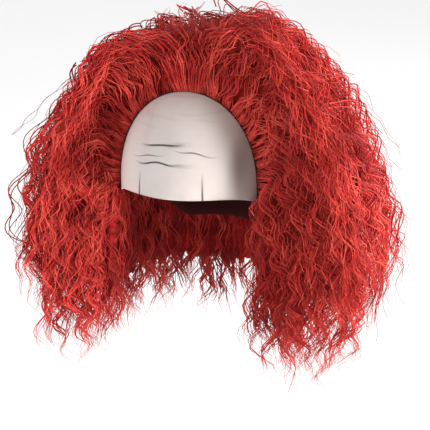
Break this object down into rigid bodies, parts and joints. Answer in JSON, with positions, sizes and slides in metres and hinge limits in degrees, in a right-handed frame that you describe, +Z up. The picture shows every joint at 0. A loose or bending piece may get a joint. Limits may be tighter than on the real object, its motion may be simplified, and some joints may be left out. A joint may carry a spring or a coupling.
{
  "type": "clown wig",
  "caption": "Clown wig with a bald forehead panel, a dark hairline tape and long crimped hair standing out all round.",
  "frame": {"origin": "centre of the head opening, level with the front edge just above the brows; the wig is held up there as a head holds a hat", "axes": "+Z up; the wearer faces -Y; +X is the wearer's left"},
  "size_m": [0.3942, 0.2725, 0.3981],
  "materials": {
    "forehead_panel": "matte moulded latex",
    "stretch_cap": "knitted net",
    "hairline_tape": "woven tape",
    "hair": "crimped synthetic fibre"
  },
  "bodies": {
    "root": {"forehead_panel": "forehead_panel", "stretch_cap": "stretch_cap", "hairline_tape": "hairline_tape", "hair_tuft": "hair", "hair_left_front": "hair", "hair_left_side": "hair", "hair_left_back": "hair", "hair_right_back": "hair", "hair_right_side": "hair", "hair_right_front": "hair"}
  },
  "joints": []
}
